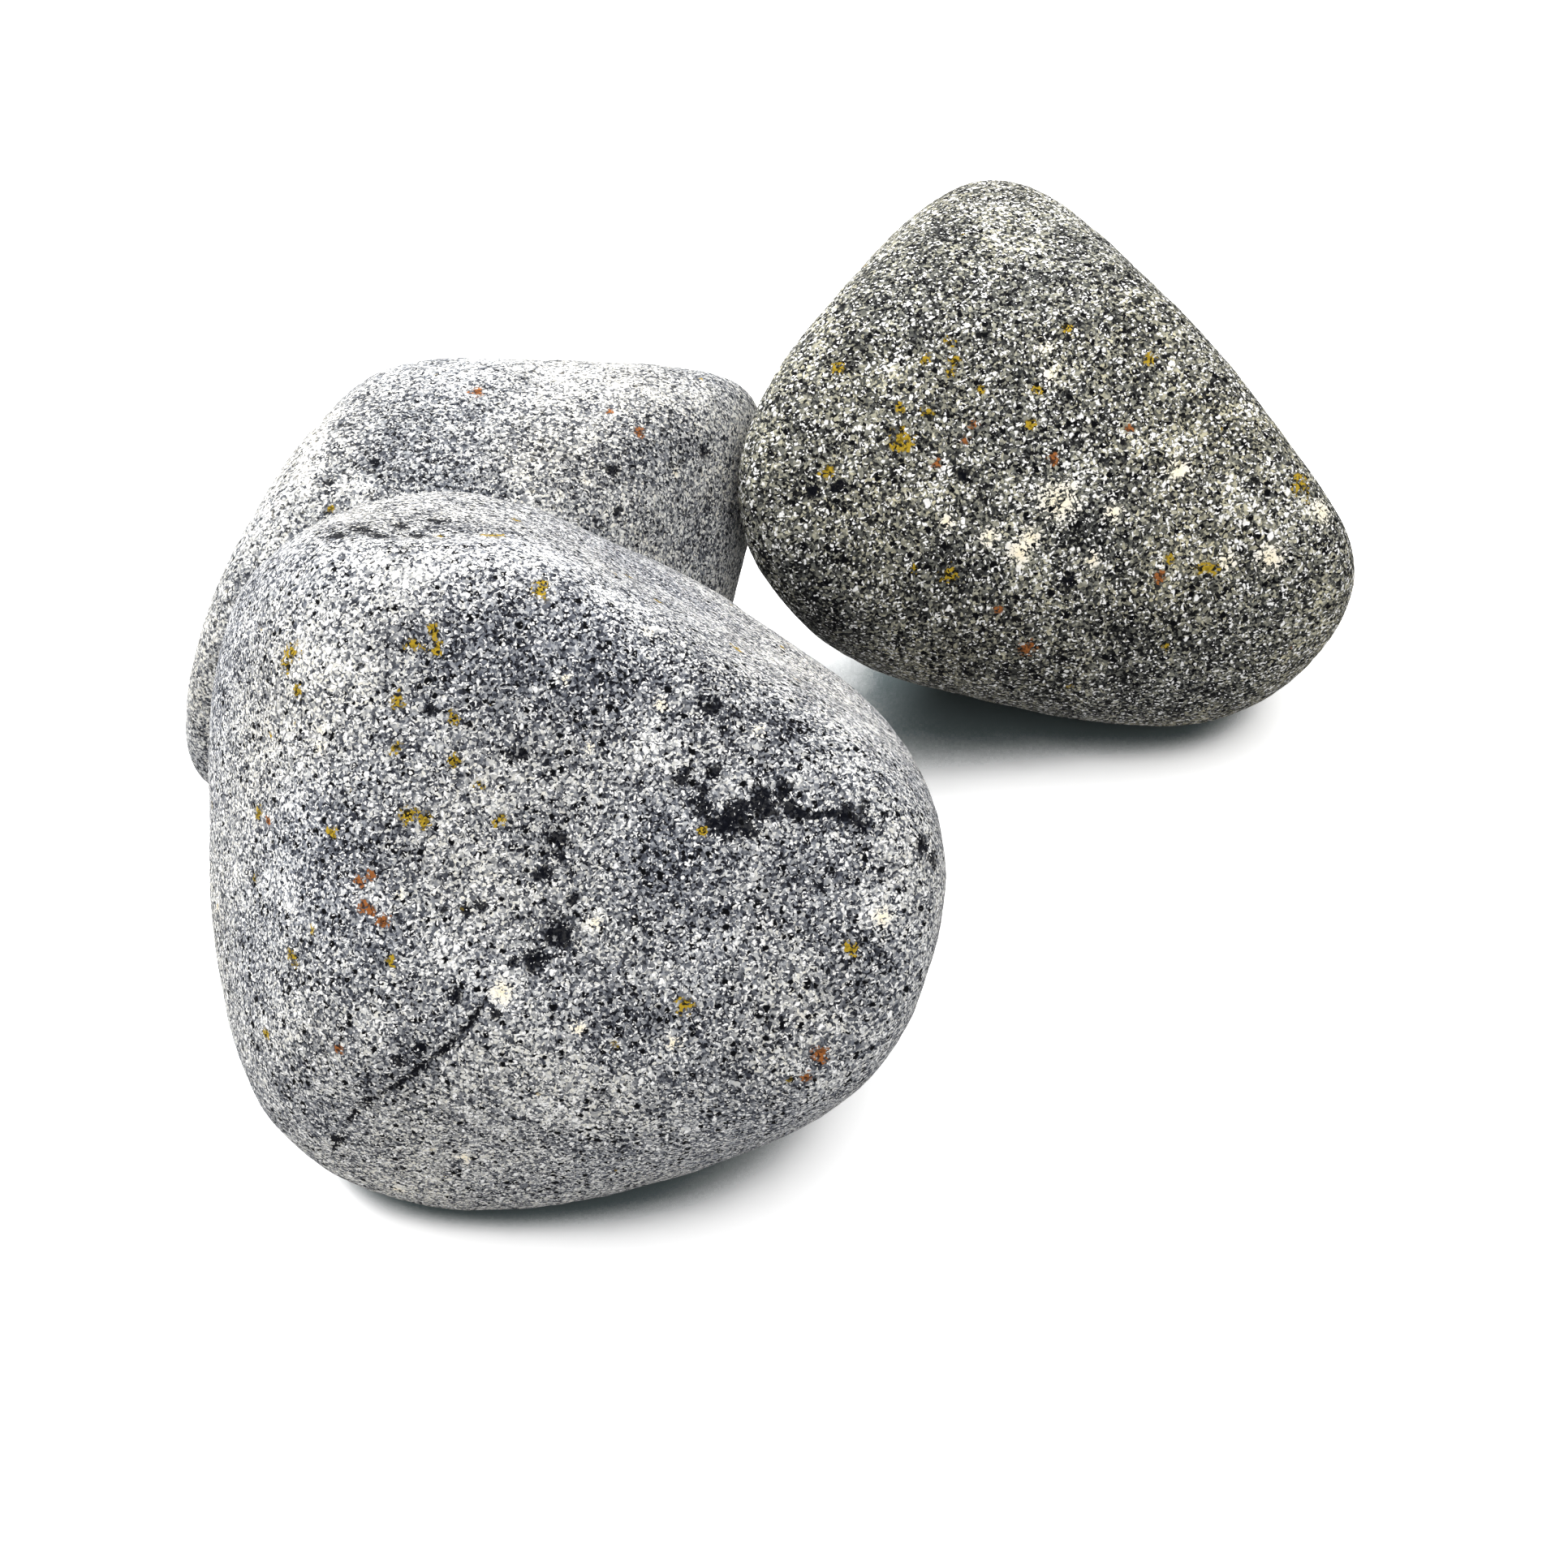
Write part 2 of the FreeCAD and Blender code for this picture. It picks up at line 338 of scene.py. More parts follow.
    # Black augite: small blunt grains in the groundmass. A cell's dice gives its grain's size as a
    # share of the cell, and the lowest dice give no grain.
    augite = add(tree, "ShaderNodeTexVoronoi", {"Scale": 1 / (AUGITE_WIDTH * coarse)}, {"Vector": grown})
    augite_dice = add(tree, "ShaderNodeSeparateColor", {}, {0: augite.outputs["Color"]}).outputs[0]
    augite_size = add(
        tree, "ShaderNodeMath", {"operation": "MULTIPLY_ADD", 1: 0.85, 2: -0.32}, {0: augite_dice}
    ).outputs[0]
    augite_inside = add(
        tree, "ShaderNodeMath", {"operation": "SUBTRACT"}, {0: augite_size, 1: augite.outputs["Distance"]}
    ).outputs[0]
    black = add(
        tree, "ShaderNodeMath", {"operation": "MULTIPLY", 1: CRISP, "use_clamp": True}, {0: augite_inside}
    ).outputs[0]
    black_cover = add(tree, "ShaderNodeMath", {"operation": "MULTIPLY", 1: bite}, {0: black}).outputs[0]
    stone_colour = add(
        tree,
        "ShaderNodeMix",
        {"data_type": "RGBA", 7: linear("#08090c")},
        {0: black_cover, 6: stone_colour},
    ).outputs[2]

    # Feldspar laths lie every way, so sets of long cells are drawn, each turned differently. They
    # crowd together in the pale clusters and cream spots, and thin out in the black ones: crowding
    # is added to every lath's size, so that more of them show.
    crowd = add(
        tree, "ShaderNodeMath", {"operation": "MULTIPLY_ADD", 1: 0.12, 2: -0.095}, {0: drift}
    ).outputs[0]
    crowd = add(
        tree, "ShaderNodeMath", {"operation": "MULTIPLY_ADD", 1: -0.21}, {0: smudge, 2: crowd}
    ).outputs[0]
    for mineral, crowding in (("cream_feldspar", 0.36), ("pale_cluster", 0.15), ("dark_drift", -0.04)):
        crowd = add(
            tree,
            "ShaderNodeMath",
            {"operation": "MULTIPLY_ADD", 1: crowding},
            {0: marks[mineral], 2: crowd},
        ).outputs[0]
    lath_sets = []
    for lath_size, turn, growth, scarcity in LATH_SETS:
        laid = add(
            tree,
            "ShaderNodeMapping",
            {"vector_type": "TEXTURE", "Rotation": turn, "Scale": [side * coarse for side in lath_size]},
            {"Vector": grown},
        ).outputs[0]
        cells = add(tree, "ShaderNodeTexVoronoi", {"Scale": 1.0}, {"Vector": laid})
        dice = add(tree, "ShaderNodeSeparateColor", {}, {0: cells.outputs["Color"]}).outputs[0]
        size = add(
            tree, "ShaderNodeMath", {"operation": "MULTIPLY_ADD", 1: growth, 2: scarcity}, {0: dice}
        ).outputs[0]
        crowded = add(tree, "ShaderNodeMath", {"operation": "ADD"}, {0: size, 1: crowd}).outputs[0]
        inside = add(
            tree, "ShaderNodeMath", {"operation": "SUBTRACT"}, {0: crowded, 1: cells.outputs["Distance"]}
        ).outputs[0]
        this_set = add(
            tree, "ShaderNodeMath", {"operation": "MULTIPLY", 1: CRISP, "use_clamp": True}, {0: inside}
        ).outputs[0]
        lath_sets.append(this_set)
    lath = lath_sets[0]
    for other_set in lath_sets[1:]:
        lath = add(tree, "ShaderNodeMath", {"operation": "MAXIMUM"}, {0: lath, 1: other_set}).outputs[0]
    lath_cover = add(
        tree, "ShaderNodeMath", {"operation": "MULTIPLY", 1: FULL_COVER * bite}, {0: lath}
    ).outputs[0]
    lath_white = add(
        tree,
        "ShaderNodeMix",
        {"data_type": "RGBA", 6: linear("#ebe9e5"), 7: linear("#ffffff")},
        {0: lean_dice},
    ).outputs[2]
    lath_tint = add(
        tree,
        "ShaderNodeMix",
        {"data_type": "RGBA", 7: linear("#fff3d6")},
        {0: marks["cream_feldspar"], 6: lath_white},
    ).outputs[2]
    stone_colour = add(
        tree, "ShaderNodeMix", {"data_type": "RGBA"}, {0: lath_cover, 6: stone_colour, 7: lath_tint}
    ).outputs[2]

    # Olivine: glassy gold grains 0.5 to 1.5 mm across. Rust shows where iron has weathered. Round each
    # marked spot of either a dark rim is painted shade, the shade of the shallow pit that the grain sits
    # in. Both are a mosaic of crystals, each painted lit or dark by its facet dice as a painted glint, at
    # the marks and thinly scattered between them. Each has its spacing in mm, its largest grain as a
    # share of that, its two colours, dark and lit, and how much it covers. Nearly half of the places
    # where it could be scattered have none.
    facet = add(
        tree, "ShaderNodeMapRange", {"From Min": 0.35, "From Max": 0.75}, {"Value": facet_dice}
    ).outputs[0]
    for mineral, spacing, largest, low_tint, high_tint, cover in (
        ("gold_olivine", 5.0, 0.18, "#241f08", "#b89a2c", 0.9),
        ("iron_rust", 9.0, 0.06, "#4a2c1c", "#b4703c", 0.75),
    ):
        scatter = add(tree, "ShaderNodeTexVoronoi", {"Scale": 1 / spacing}, {"Vector": grown})
        scatter_dice = add(tree, "ShaderNodeSeparateColor", {}, {0: scatter.outputs["Color"]}).outputs[0]
        scatter_size = add(
            tree,
            "ShaderNodeMath",
            {"operation": "MULTIPLY_ADD", 1: largest, 2: -0.45 * largest - SCATTER_WANDER / 2 / spacing},
            {0: scatter_dice},
        ).outputs[0]
        scatter_rim = add(
            tree,
            "ShaderNodeMath",
            {"operation": "MULTIPLY_ADD", 1: SCATTER_WANDER / spacing},
            {0: ragged, 2: scatter_size},
        ).outputs[0]
        scatter_inside = add(
            tree,
            "ShaderNodeMath",
            {"operation": "SUBTRACT"},
            {0: scatter_rim, 1: scatter.outputs["Distance"]},
        ).outputs[0]
        scattered = add(
            tree,
            "ShaderNodeMath",
            {"operation": "MULTIPLY", 1: 20.0, "use_clamp": True},
            {0: scatter_inside},
        ).outputs[0]
        spot_rim = add(
            tree,
            "ShaderNodeMath",
            {"operation": "MULTIPLY_ADD", 1: RAGGEDNESS},
            {0: ragged, 2: marks[mineral]},
        ).outputs[0]
        # Painted shade: the dark rim round a marked spot stands for the shade of the pit it sits in.
        pit_rim_painted_shade = add(
            tree,
            "ShaderNodeMath",
            {"operation": "MULTIPLY_ADD", 1: 3.0, 2: -3.0 * SPOT_EDGE, "use_clamp": True},
            {0: spot_rim},
        ).outputs[0]
        stone_colour = add(
            tree,
            "ShaderNodeMix",
            {"data_type": "RGBA", 7: linear("#1c1a12")},
            {0: pit_rim_painted_shade, 6: stone_colour},
        ).outputs[2]
        spot = add(
            tree,
            "ShaderNodeMath",
            {"operation": "MULTIPLY_ADD", 1: 6.0, 2: -6.0 * SPOT_HEART, "use_clamp": True},
            {0: spot_rim},
        ).outputs[0]
        here = add(tree, "ShaderNodeMath", {"operation": "MAXIMUM"}, {0: scattered, 1: spot}).outputs[0]
        covered = add(tree, "ShaderNodeMath", {"operation": "MULTIPLY", 1: cover}, {0: here}).outputs[0]
        # Painted glint: the facet dice paint each crystal between its dark tint and its lit one.
        glassy = add(
            tree,
            "ShaderNodeMix",
            {"data_type": "RGBA", 6: linear(low_tint), 7: linear(high_tint)},
            {0: facet},
        ).outputs[2]
        stone_colour = add(
            tree, "ShaderNodeMix", {"data_type": "RGBA"}, {0: covered, 6: stone_colour, 7: glassy}
        ).outputs[2]

    # Laths stand a few hundredths of a mm proud of the softer black grains.
    proud = add(tree, "ShaderNodeMath", {"operation": "SUBTRACT"}, {0: lath, 1: black}).outputs[0]
    height = add(
        tree, "ShaderNodeMath", {"operation": "MULTIPLY_ADD", 1: 0.5}, {0: level, 2: proud}
    ).outputs[0]

    # A hairline crack is a dark line that wanders round the grains, widens and narrows from one to the
    # next, and fades at its ends. A real one is finer, and it is drawn 0.4 to 1 mm wide so that it
    # shows.
    if cracked:
        crack_side = add(tree, "ShaderNodeAttribute", {"attribute_name": "crack_side"}).outputs["Fac"]
        crack_reach = add(tree, "ShaderNodeAttribute", {"attribute_name": "crack_reach"}).outputs["Fac"]
        wander = add(
            tree,
            "ShaderNodeMath",
            {"operation": "MULTIPLY_ADD", 1: CRACK_WANDER},
            {0: rough, 2: crack_side},
        ).outputs[0]
        sideways = add(
            tree, "ShaderNodeMath", {"operation": "SUBTRACT", 1: CRACK_WANDER / 2}, {0: wander}
        ).outputs[0]
        off_line = add(tree, "ShaderNodeMath", {"operation": "ABSOLUTE"}, {0: sideways}).outputs[0]
        width = add(
            tree, "ShaderNodeMath", {"operation": "MULTIPLY_ADD", 1: 1.8, 2: 1.1}, {0: facet_dice}
        ).outputs[0]
        line = add(
            tree,
            "ShaderNodeMath",
            {"operation": "MULTIPLY_ADD", 1: -6.0, "use_clamp": True},
            {0: off_line, 2: width},
        ).outputs[0]
        reach_rim = add(
            tree,
            "ShaderNodeMath",
            {"operation": "MULTIPLY_ADD", 1: RAGGEDNESS},
            {0: ragged, 2: crack_reach},
        ).outputs[0]
        reach = add(
            tree,
            "ShaderNodeMath",
            {"operation": "MULTIPLY_ADD", 1: 3.0, 2: -3.0 * CRACK_END, "use_clamp": True},
            {0: reach_rim},
        ).outputs[0]
        gape = add(tree, "ShaderNodeMath", {"operation": "MULTIPLY"}, {0: line, 1: reach}).outputs[0]
        stone_colour = add(
            tree,
            "ShaderNodeMix",
            {"data_type": "RGBA", 7: linear("#0b0c12")},
            {0: gape, 6: stone_colour},
        ).outputs[2]
        height = add(
            tree, "ShaderNodeMath", {"operation": "MULTIPLY_ADD", 1: -2.0}, {0: gape, 2: height}
        ).outputs[0]

    # Black grains are the mattest, and the laths shine a little more than the groundmass.
    bumps = add(
        tree, "ShaderNodeBump", {"Strength": 0.6, "Distance": 0.06 * MM}, {"Height": height}
    ).outputs[0]
    roughness = add(
        tree,
        "ShaderNodeMapRange",
        {"From Min": -1.0, "From Max": 1.0, "To Min": 0.90, "To Max": 0.70},
        {"Value": proud},
    ).outputs[0]
    surface = add(
        tree,
        "ShaderNodeBsdfPrincipled",
        {"IOR": 1.55, "Specular IOR Level": 0.06, "Diffuse Roughness": 0.5},
        {"Base Color": stone_colour, "Roughness": roughness, "Normal": bumps},
    ).outputs[0]
    add(tree, "ShaderNodeOutputMaterial", {}, {"Surface": surface})
    return material


BACK_BED = Vector((31.0, 7.0, 52.0))  # where in the lava bed this pebble's grain was cut from, in mm
back_stone = tumbled_skin("back_stone_skin", "back_stone", BACK_BED)
# Each spot is its place along and up the broad face from its middle, and its radius, all in mm.
BACK_SPOTS = {
    "cream_feldspar": [
        (12.0, 6.0, 0.4), (20.5, 7.0, 0.4),
    ],
    "pale_cluster": [
        (1.5, 19.0, 2.5), (7.0, 14.5, 1.5), (22.0, 15.0, 2.0), (-9.5, 5.0, 1.5), (-1.5, 17.0, 3.0),
        (-14.5, 8.5, 2.0), (-18.0, 2.0, 3.0), (10.0, 16.5, 3.0),
    ],
    "dark_drift": [
        (18.0, 5.5, 5.0), (22.0, 9.0, 4.0), (22.5, 3.0, 4.0), (10.5, 8.5, 4.0), (-7.0, 10.0, 4.0),
        (2.5, 6.0, 3.0),
    ],
    "black_augite": [
        (14.5, 7.0, 0.7), (23.0, 9.5, 0.6), (15.0, 3.0, 0.6), (-12.5, 5.5, 0.5), (-8.0, 7.5, 0.5),
    ],
    "gold_olivine": [
        (-12.0, 3.0, 0.5),
    ],
    "iron_rust": [
        (1.0, 15.0, 0.8), (17.0, 11.0, 0.7), (14.0, 13.0, 0.5),
    ],
}
for mineral, spots in BACK_SPOTS.items():
    mineral_spots(back_stone, mineral, spots)
back_stone.data.materials.append(
    tumbled_basalt(
        "basalt_tumbled_pale_grey",
        BACK_BED,
        tone=0.09,
        cool="#f0f4fa",
        warm="#fbf8f0",
        coarse=0.85,
        bite=0.75,
    )
)
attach(back_stone, "back_stone_body")
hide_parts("back_stone")

# ------------------------------------------------------------------------------------------------
# Leaning stone. A thicker pebble of the same basalt, a shade warmer and darker, with more olivine
# and creamy feldspar. It stands on its lower end and only rests its edge by the back stone.
# ------------------------------------------------------------------------------------------------

LEANING_BED = Vector((-18.0, 44.0, 9.0))
leaning_stone = tumbled_skin("leaning_stone_skin", "leaning_stone", LEANING_BED)
LEANING_SPOTS = {
    "cream_feldspar": [
        (0.5, -6.5, 1.4), (-2.0, -10.0, 0.8), (-3.0, -11.5, 0.9), (-6.0, -10.0, 0.7),
        (-10.5, -8.5, 0.6), (6.0, -7.5, 0.7), (4.0, -12.0, 0.6), (21.0, -12.0, 1.0),
        (17.0, -12.5, 0.7), (26.5, -7.5, 1.0), (12.0, -3.5, 0.9), (0.0, 6.0, 0.7), (-0.5, 8.5, 0.6),
    ],
    # The pale cluster at (22.0, -8.0) is a painted highlight, light on the stone's right flank.
    "pale_cluster": [
        (2.5, -4.0, 1.8), (-3.0, -5.5, 1.6), (-2.5, -11.0, 2.0), (-11.0, -5.0, 1.8), (-16.0, 6.5, 1.8),
        (-19.0, 1.0, 1.4), (12.0, -1.0, 1.2), (8.0, -0.5, 1.2), (19.0, 2.5, 1.3), (17.0, -5.5, 1.2),
        (-1.5, 2.0, 1.0), (22.0, -8.0, 2.6), (-4.0, 22.5, 3.0), (-1.0, 19.0, 2.0), (2.5, 24.0, 2.5),
    ],
    "dark_drift": [
        (3.0, -9.0, 1.8), (-24.0, -8.0, 3.0), (-22.5, -17.0, 4.0), (-9.0, -13.5, 3.0),
        (-3.0, -23.0, 5.0), (8.5, -20.5, 5.0), (17.5, -25.0, 4.0), (-9.5, 21.5, 1.6),
        (-18.5, 9.0, 2.0),
    ],
    "black_augite": [
        (-23.5, -5.5, 0.7), (-21.0, -5.0, 0.6), (-9.0, -4.0, 0.8), (1.5, -14.5, 0.8), (7.0, -0.5, 0.5),
    ],
    "gold_olivine": [
        (-14.6, -0.9, 1.3), (-21.0, 6.5, 0.7), (-10.0, 9.0, 0.6), (-12.5, 7.5, 0.6), (-9.5, 7.0, 0.7),
        (-10.0, 6.0, 0.5), (-12.0, 2.0, 0.6), (-15.0, 2.5, 0.6), (-7.0, 4.5, 0.5), (-2.0, 1.0, 0.6),
        (-1.5, 4.5, 0.6), (-22.0, -3.5, 0.8), (-10.0, -13.5, 0.9), (-13.5, -13.0, 0.5),
        (1.5, 10.5, 0.6), (9.5, 7.5, 0.7), (24.5, -5.0, 1.2), (15.5, -13.0, 0.8), (14.5, -13.0, 0.7),
        (11.5, -12.0, 0.6), (11.5, -20.5, 0.5),
    ],
    "iron_rust": [
        (-11.5, -3.0, 0.6), (-7.5, 1.0, 0.5), (0.0, -2.5, 0.6), (-8.5, -0.5, 0.5), (-5.0, -17.0, 0.5),
        (-2.0, -20.5, 0.9), (10.5, -14.0, 0.6), (7.5, 0.5, 0.5),
    ],
}
for mineral, spots in LEANING_SPOTS.items():
    mineral_spots(leaning_stone, mineral, spots)
leaning_stone.data.materials.append(
    tumbled_basalt(
        "basalt_tumbled_warm_grey",
        LEANING_BED,
        tone=-0.15,
        cool="#e9e9da",
        warm="#f1eac9",
        coarse=0.95,
    )
)
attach(leaning_stone, "leaning_stone_body")
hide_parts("leaning_stone")

# ------------------------------------------------------------------------------------------------
# Front stone. The largest pebble, cool grey, with a long shallow hollow under its crest where a
# flake came away, blue-black augite streaks, and a hairline crack low on its left.
# ------------------------------------------------------------------------------------------------

FRONT_BED = Vector((5.0, -27.0, -40.0))
# The hollow's heart, its reach along and across, the way it runs and its depth. Then come the points
# that the crack passes through on the broad face. All are in mm.
CREST_HOLLOW = (Vector((-12.5, 24.8, 15.0)), (7.0, 4.2), Vector((0.99, 0.1, 0.0)), 1.7)
CRACK_COURSE = (
    (-6.5, -16.0),
    (-7.5, -17.5),
    (-9.5, -19.5),
    (-11.5, -21.0),
    (-13.5, -22.5),
    (-16.0, -24.0),
    (-18.0, -25.5),
    (-20.0, -28.5),
)
CRACK_DEPTH = 0.12
CRACK_HALF_WIDTH = 0.4
CRACK_REACH = 1.4  # how far to each side the crack's wandering line may show
CLEAR_OF_CRACK = 10.0  # marks the skin that the crack can't reach


def hairline_crack(stone, course):
    """Cuts a crack along its course, and marks which side of it each point of the skin lies on."""
    count = len(stone.data.vertices)
    lies_at = np.empty(count * 3)
    outward = np.empty(count * 3)
    stone.data.vertices.foreach_get("co", lies_at)
    stone.data.vertices.foreach_get("normal", outward)
    lies_at = lies_at.reshape(count, 3)
    outward = outward.reshape(count, 3)
    on_face = lies_at @ np.array(Matrix.Rotation(BROAD_FACE_TILT, 3, "X")) / MM
    nearest = np.full(count, np.inf)
    side = np.full(count, CLEAR_OF_CRACK)
    for start, end in zip(course, course[1:]):
        start = np.array(start)
        run = np.array(end) - start
        off = on_face[:, :2] - start
        share = np.clip(off @ run / (run @ run), 0, 1)
        away = np.linalg.norm(off - share[:, None] * run, axis=1)
        left = np.sign(run[0] * off[:, 1] - run[1] * off[:, 0])
        closer = (away < nearest) & (on_face[:, 2] > 0)
        side = np.where(closer, left * away, side)
        nearest = np.where(closer, away, nearest)
    layer = stone.data.attributes.new("crack_side", "FLOAT", "POINT")
    layer.data.foreach_set("value", side)
    depth = CRACK_DEPTH * MM * np.exp(-((nearest / CRACK_HALF_WIDTH) ** 2))
    stone.data.vertices.foreach_set("co", (lies_at - outward * depth[:, None]).ravel())


front_stone = tumbled_skin("front_stone_skin", "front_stone", FRONT_BED, [CREST_HOLLOW])
hairline_crack(front_stone, CRACK_COURSE)
mineral_spots(front_stone, "crack_reach", [(along, up, CRACK_REACH) for along, up in CRACK_COURSE])
FRONT_SPOTS = {
    "cream_feldspar": [
        (-20.0, 5.5, 0.5), (-20.0, 7.0, 0.4), (8.5, 9.0, 0.5), (0.5, 11.0, 0.4), (2.5, 5.5, 0.4),
        (7.5, 15.0, 0.5), (16.5, 7.0, 0.5), (-4.5, -14.5, 0.7), (1.5, -17.5, 0.5), (-8.5, -29.5, 0.7),
        (-15.0, -33.0, 0.5), (3.0, -9.0, 0.5), (9.5, -19.0, 0.5), (26.5, -8.5, 0.6),
        (-13.0, -6.5, 0.3),
    ],
    # The pale clusters from (-18.5, 20.5) to (-1.0, 21.5) are painted highlight, the lit lip under the
    # crest hollow; the others are pale clusters in the rock.
    "pale_cluster": [
        (-19.5, 13.5, 3.2), (-22.5, 4.0, 2.2), (-23.0, -6.0, 2.0), (-18.5, 20.5, 2.2),
        (-15.0, 20.0, 2.2), (-11.5, 19.8, 2.2), (-8.0, 20.3, 2.4), (-4.5, 21.5, 3.0),
        (-1.0, 21.5, 3.0), (-9.0, -11.5, 1.8), (-4.5, -14.5, 1.3), (-15.0, -17.0, 1.2),
        (-17.0, -6.0, 1.6), (7.5, 6.5, 1.8), (7.5, 14.5, 2.0), (26.0, -8.0, 1.6), (-0.5, -25.0, 1.4),
        (5.0, 17.5, 2.4),
    ],
    # The first four dark drifts are painted shade inside the crest hollow; the others darken the grey in
    # patches.
    "dark_drift": [
        (-18.0, 24.0, 2.5), (-15.0, 24.5, 3.0), (-11.5, 24.5, 3.0), (-8.5, 24.5, 2.5),
        (9.0, 13.5, 3.5), (13.5, 10.5, 3.5), (17.0, 7.5, 3.0), (-6.5, 15.0, 3.0), (-4.5, 11.5, 4.0),
        (0.0, 9.0, 3.0), (3.5, 10.0, 3.0), (-16.0, -3.0, 3.0), (-11.5, -19.5, 2.4),
        (-15.0, -22.0, 2.2), (24.0, -12.5, 3.0), (14.0, -20.0, 4.0), (5.0, -16.5, 3.0),
        (-0.5, -2.0, 2.0), (9.5, -5.0, 4.0), (21.0, -6.5, 4.0), (0.0, -10.5, 2.2),
    ],
    "black_augite": [
        (10.0, 3.0, 0.7), (10.5, 3.5, 0.6), (13.0, 3.5, 0.8), (12.0, 2.0, 0.6), (12.0, 0.5, 0.9),
        (13.0, -0.5, 1.1), (14.0, -1.0, 1.1), (15.5, -1.0, 1.0), (15.0, 0.5, 1.1), (17.0, 2.0, 1.0),
        (18.5, 2.0, 1.0), (19.0, 0.5, 1.0), (17.5, 0.5, 0.9), (20.0, 0.0, 0.9), (21.5, 0.0, 0.5),
        (22.5, 0.0, 0.4), (24.0, 0.0, 1.0), (25.0, 0.5, 0.6), (14.5, 0.0, 1.3), (16.5, 0.8, 1.3),
        (25.0, -1.0, 0.7), (27.0, 0.0, 0.4), (30.0, -2.5, 0.9), (31.0, -4.0, 0.8), (12.5, 9.0, 0.9),
        (-19.0, 23.5, 0.9), (-17.0, 24.0, 1.1), (-15.5, 23.5, 1.0), (-14.0, 24.5, 0.8),
        (-12.5, 23.5, 0.7), (-11.0, 25.0, 0.9), (-13.0, 22.0, 0.5), (-16.5, 12.0, 0.4),
        (-10.5, 8.5, 0.5), (-3.0, 5.0, 0.6), (-4.0, 5.0, 0.5), (19.5, 11.0, 0.6), (0.0, -2.0, 0.9),
        (0.0, -3.0, 0.8), (-1.0, -5.0, 0.8), (1.5, -7.0, 0.6), (0.0, -10.0, 1.4), (-2.0, -12.0, 1.0),
        (-3.5, -12.0, 0.6), (-9.5, -8.0, 0.4), (-7.5, -8.0, 0.6), (-6.5, -7.5, 0.5),
        (-8.5, -15.0, 0.8), (-11.5, -19.5, 0.7), (-13.5, -20.5, 0.6), (-19.5, -28.0, 0.7),
        (-5.0, -16.5, 0.5),
    ],
    "gold_olivine": [
        (-22.5, 13.5, 0.9), (-23.0, 12.5, 0.7), (-22.0, 10.0, 0.6), (-24.5, 6.5, 0.5),
        (-12.0, 14.0, 0.6), (-10.5, 15.0, 0.6), (-10.0, 13.5, 0.8), (-8.5, 8.0, 0.6), (-8.5, 4.5, 0.6),
        (-6.5, 2.5, 0.5), (-13.5, 5.5, 0.6), (-12.5, 0.0, 0.8), (-11.0, -0.5, 0.7), (-26.0, 0.0, 0.6),
        (-19.0, -1.5, 0.6), (-26.5, -5.5, 0.5), (-5.0, -0.5, 0.6), (-6.0, 23.5, 0.9),
        (-5.0, 25.5, 0.6), (-10.5, 23.5, 0.5), (-1.5, 18.5, 0.9), (5.0, 20.5, 0.5), (8.0, 18.0, 0.5),
        (14.5, 14.0, 0.6), (-22.5, -12.0, 0.7), (-14.0, -12.0, 0.5), (-25.5, -19.0, 0.6),
        (10.5, -16.0, 0.7), (24.0, -11.0, 0.7), (12.0, -1.5, 0.5), (-13.0, 9.5, 0.7),
    ],
    "iron_rust": [
        (-16.0, -7.5, 0.6), (-15.5, -8.0, 0.5), (-14.5, -9.0, 0.7), (-16.5, -5.5, 0.5),
        (-15.5, -5.0, 0.5), (-25.0, -0.5, 0.5), (21.5, -20.0, 0.8), (20.5, -22.0, 0.7),
        (-18.5, -19.5, 0.5),
    ],
}
for mineral, spots in FRONT_SPOTS.items():
    mineral_spots(front_stone, mineral, spots)
front_stone.data.materials.append(
    tumbled_basalt(
        "basalt_tumbled_cool_grey",
        FRONT_BED,
        tone=0.05,
        cool="#eef2fb",
        warm="#fcfaf3",
        coarse=0.8,
        cracked=True,
    )
)
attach(front_stone, "front_stone_body")
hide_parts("front_stone")

# ------------------------------------------------------------------------------------------------
# The table and the light. A board with a matt white paint, a wide soft lamp above the stones, behind
# them and to their left, a weak lamp low on their left, and a white room that fills the shadows.
# ------------------------------------------------------------------------------------------------

table_mesh = bpy.data.meshes.new("table_top")
table_mesh.from_pydata([(-3, -3, 0), (3, -3, 0), (3, 3, 0), (-3, 3, 0)], [], [(0, 1, 2, 3)])
table_top = bpy.data.objects.new("table_top", table_mesh)
bpy.context.scene.collection.objects.link(table_top)

# Matt white paint on board, an even white, with painted shade close round each stone: a blue-grey
# painted contact shadow where the stones hide the room from the table.
# It is seen whiter than it lights the stones, so that their undersides stay dark.
TABLE_SEEN_WHITE = 1.55
TABLE_SHADE_REACH = 0.04  # in metres

table_look = bpy.data.materials.new("table_white_with_painted_shade")
table_look.use_nodes = True
table_tree = table_look.node_tree
table_tree.nodes.clear()
table_rays = add(table_tree, "ShaderNodeLightPath")
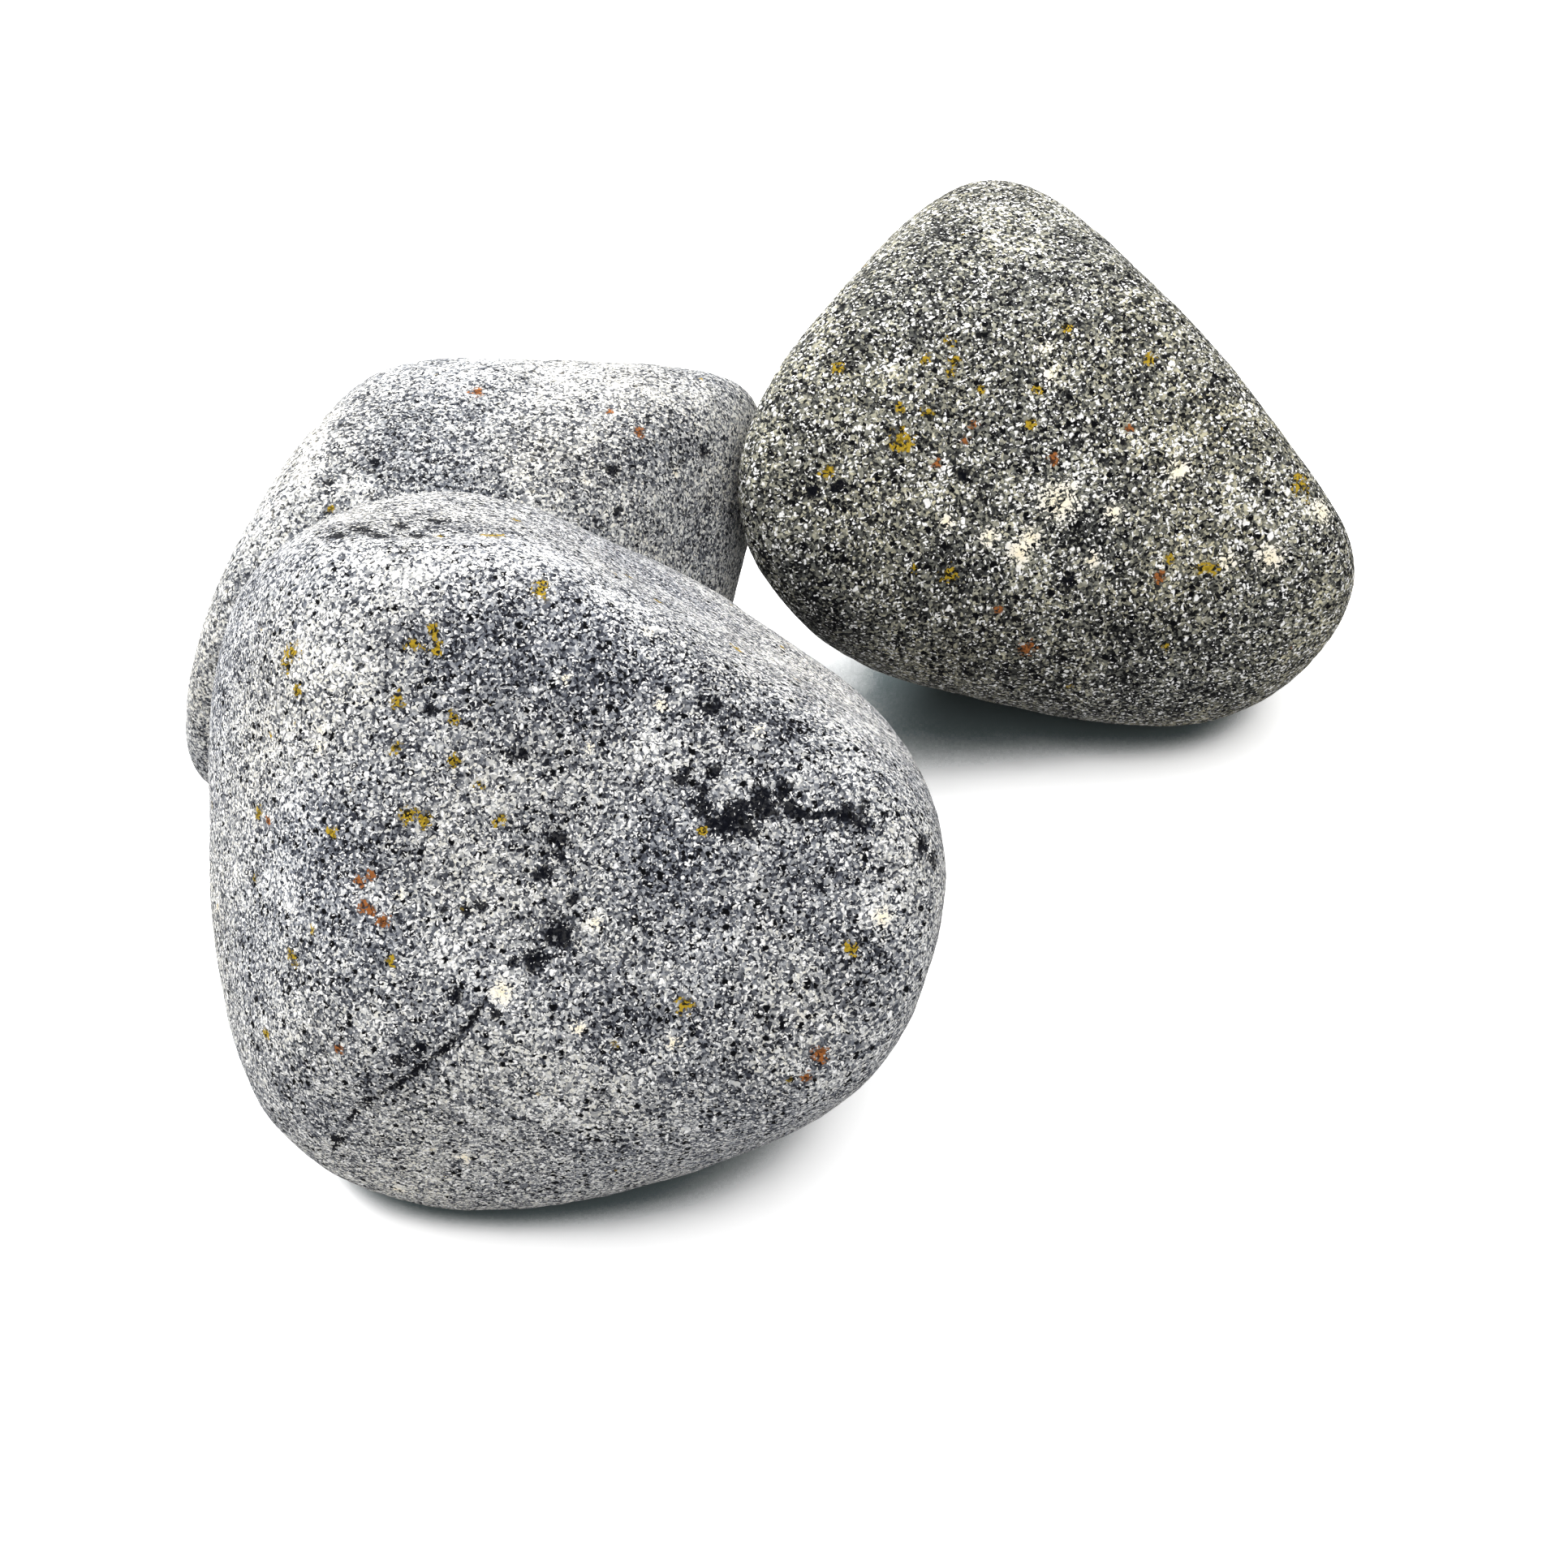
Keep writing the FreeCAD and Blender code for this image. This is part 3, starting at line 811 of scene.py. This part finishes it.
# Painted shade: where ambient occlusion finds the stones close by, the table's colour goes blue-grey, a
# painted contact shadow round and under each stone.
table_nook = add(
    table_tree, "ShaderNodeAmbientOcclusion", {"Distance": TABLE_SHADE_REACH, "samples": 32}
).outputs["AO"]
table_open = add(
    table_tree, "ShaderNodeMapRange", {"From Min": 0.25, "From Max": 0.38}, {"Value": table_nook}
).outputs[0]
table_seen = add(
    table_tree,
    "ShaderNodeMix",
    {"data_type": "RGBA", 6: linear("#6c7779"), 7: [TABLE_SEEN_WHITE] * 3 + [1.0]},
    {0: table_open},
).outputs[2]
table_white = add(
    table_tree,
    "ShaderNodeMix",
    {"data_type": "RGBA", 6: linear("#aaaaab")},
    {0: table_rays.outputs["Is Camera Ray"], 7: table_seen},
).outputs[2]
table_surface = add(table_tree, "ShaderNodeBsdfDiffuse", {}, {"Color": table_white}).outputs[0]
add(table_tree, "ShaderNodeOutputMaterial", {}, {"Surface": table_surface})
table_mesh.materials.append(table_look)

# The room is seen as plain white, and lights the stones more from overhead than from the sides.
ROOM_SIDE_LIGHT = 0.62
ROOM_TOP_LIGHT = 2.35

room = bpy.data.worlds.new("white_room")
bpy.context.scene.world = room
room.use_nodes = True
room_tree = room.node_tree
room_tree.nodes.clear()
ray_kind = add(room_tree, "ShaderNodeLightPath")
seen = ray_kind.outputs["Is Camera Ray"]
for mirror_ray in ("Is Glossy Ray", "Is Transmission Ray"):
    seen = add(
        room_tree, "ShaderNodeMath", {"operation": "MAXIMUM"}, {0: seen, 1: ray_kind.outputs[mirror_ray]}
    ).outputs[0]
sky_way = add(room_tree, "ShaderNodeTexCoord").outputs["Generated"]
sky_height = add(room_tree, "ShaderNodeSeparateXYZ", {}, {0: sky_way}).outputs[2]
overhead = add(
    room_tree,
    "ShaderNodeMath",
    {"operation": "MULTIPLY", "use_clamp": True},
    {0: sky_height, 1: sky_height},
).outputs[0]
sky_strength = add(
    room_tree,
    "ShaderNodeMapRange",
    {"To Min": ROOM_SIDE_LIGHT, "To Max": ROOM_TOP_LIGHT},
    {"Value": overhead},
).outputs[0]
room_strength = add(
    room_tree, "ShaderNodeMix", {"data_type": "FLOAT", 3: 1.0}, {0: seen, 2: sky_strength}
).outputs[0]
room_light = add(
    room_tree, "ShaderNodeBackground", {"Color": linear("#ffffff")}, {"Strength": room_strength}
).outputs[0]
add(room_tree, "ShaderNodeOutputWorld", {}, {"Surface": room_light})

# Each lamp's power in watts, and its width and place in metres. Both point at the stones.
LAMP_AIM = Vector((0.0, 0.0, 0.02))
for lamp_name, watts, width, place in (
    ("soft_lamp_above", 8.6, 0.5, (-0.36, 0.42, 0.50)),
    ("soft_lamp_left", 1.2, 0.4, (-0.62, 0.20, 0.28)),
):
    lamp_data = bpy.data.lights.new(lamp_name, "AREA")
    lamp_data.size = width
    lamp_data.energy = watts
    lamp = bpy.data.objects.new(lamp_name, lamp_data)
    bpy.context.scene.collection.objects.link(lamp)
    lamp.location = place
    lamp.rotation_euler = (LAMP_AIM - Vector(place)).to_track_quat("-Z", "Y").to_euler()

# ------------------------------------------------------------------------------------------------
# The camera looks straight at the broad faces, from in front and above. Its place is in metres.
# ------------------------------------------------------------------------------------------------

camera_data = bpy.data.cameras.new("camera")
camera_data.lens = 81.52  # in mm, like the sensor
camera_data.sensor_width = 36
camera_data.clip_start = 0.01
camera = bpy.data.objects.new("camera", camera_data)
bpy.context.scene.collection.objects.link(camera)
camera.location = (0.00145, -0.26904, 0.23376)
camera.rotation_euler = Euler((BROAD_FACE_TILT, 0, 0))
bpy.context.scene.camera = camera

bpy.context.scene.view_settings.view_transform = "Standard"
